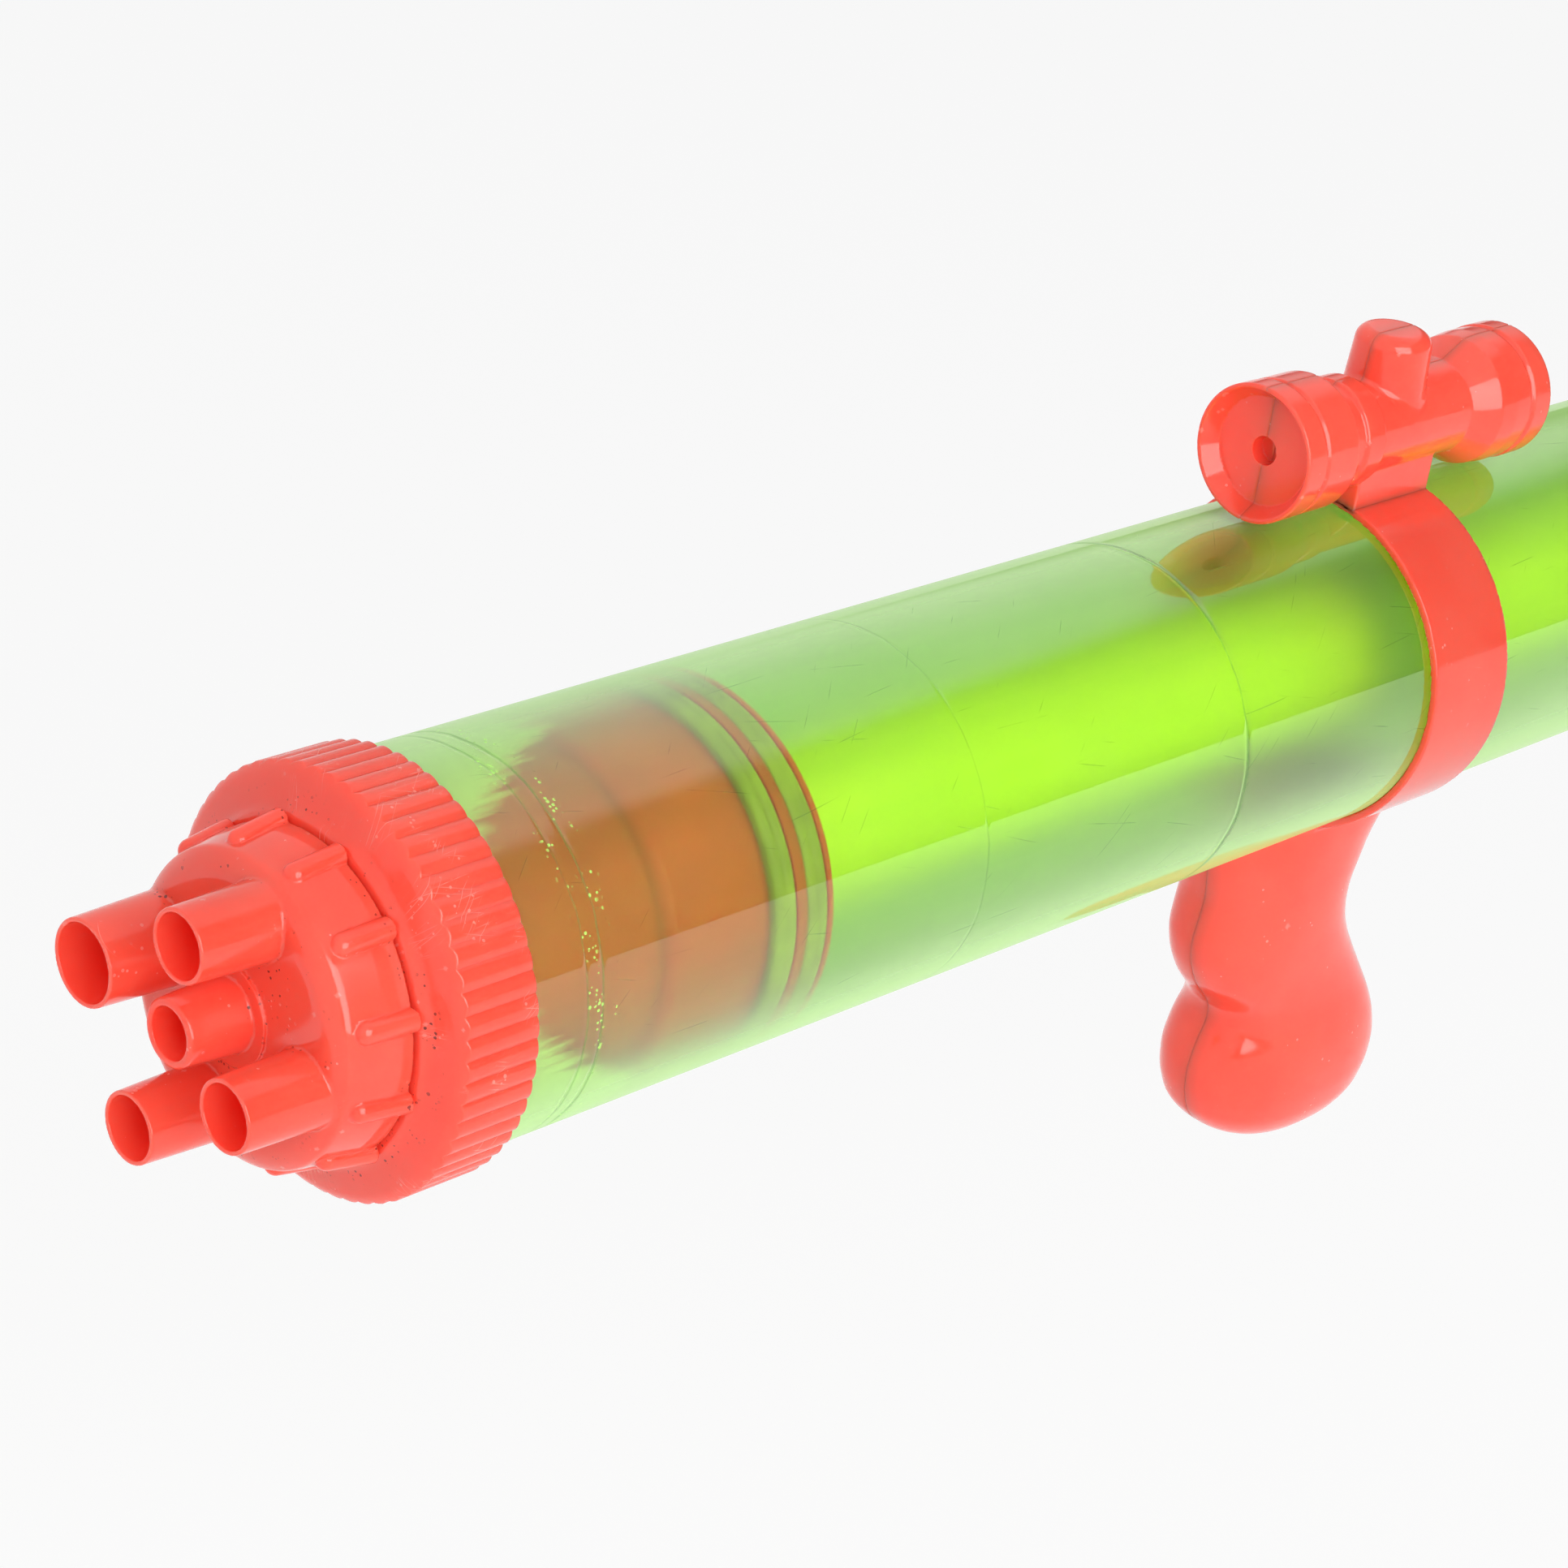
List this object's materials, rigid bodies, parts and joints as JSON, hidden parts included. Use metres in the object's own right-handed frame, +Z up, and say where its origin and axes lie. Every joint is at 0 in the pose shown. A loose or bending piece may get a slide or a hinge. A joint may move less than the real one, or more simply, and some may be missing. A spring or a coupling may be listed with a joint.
{
  "type": "water squirter",
  "caption": "Hand-pumped water squirter with a clear barrel, screw-on cap of outlet tubes, sealed piston on a pull-out plunger tube, sight scope and pistol grip.",
  "frame": {"origin": "centre of the middle nozzle's mouth, on the barrel's axis", "axes": "+X along the barrel from the muzzle to the rear handle, +Z up from the grip to the scope, +Y to the right of a person who aims it"},
  "size_m": [0.5789, 0.0698, 0.1764],
  "materials": {
    "clear_green": "clear, tinted, scuffed",
    "red_plastic": "moulded, glossy",
    "lime_plastic": "extruded, glossy",
    "olive_rubber": "soft, satin",
    "dark_rubber": "soft, matte",
    "screw_steel": "plated"
  },
  "bodies": {
    "barrel": {"barrel_tube": "clear_green", "front_collar": "red_plastic", "collar_gasket": "dark_rubber", "rear_cap": "red_plastic", "mount_shell_left": "red_plastic", "mount_shell_right": "red_plastic", "mount_screws": "screw_steel"},
    "nozzle_seal": {"nozzle_gasket": "dark_rubber"},
    "nozzle": {"nozzle_cap": "red_plastic"},
    "piston": {"piston_nose": "red_plastic", "piston_body": "red_plastic", "piston_seal_front": "olive_rubber", "piston_seal_rear": "olive_rubber"},
    "plunger": {"plunger_plug": "red_plastic", "plunger_tube": "lime_plastic", "swivel_washer": "screw_steel", "swivel_screw": "screw_steel", "handle_shell_left": "red_plastic", "handle_shell_right": "red_plastic", "handle_screws": "screw_steel"}
  },
  "joints": [
    {"name": "nozzle_travel", "type": "slide", "parent": "barrel", "child": "nozzle_seal", "axis": [-1, 0, 0], "range_m": [0, 0.0064]},
    {"name": "nozzle_turn", "type": "hinge", "parent": "nozzle_seal", "child": "nozzle", "pos_m": [0.018, 0, 0], "axis": [-1, 0, 0], "range_deg": [0, 720]},
    {"name": "plunger_slide", "type": "slide", "parent": "barrel", "child": "piston", "axis": [1, 0, 0], "range_m": [0, 0.33]},
    {"name": "handle_swivel", "type": "hinge", "parent": "piston", "child": "plunger", "pos_m": [0.0858, 0, 0], "axis": [1, 0, 0], "continuous": true}
  ],
  "couplings": [
    {"joint": "nozzle_travel", "follows": "nozzle_turn", "m_per_rad": 0.000509}
  ]
}
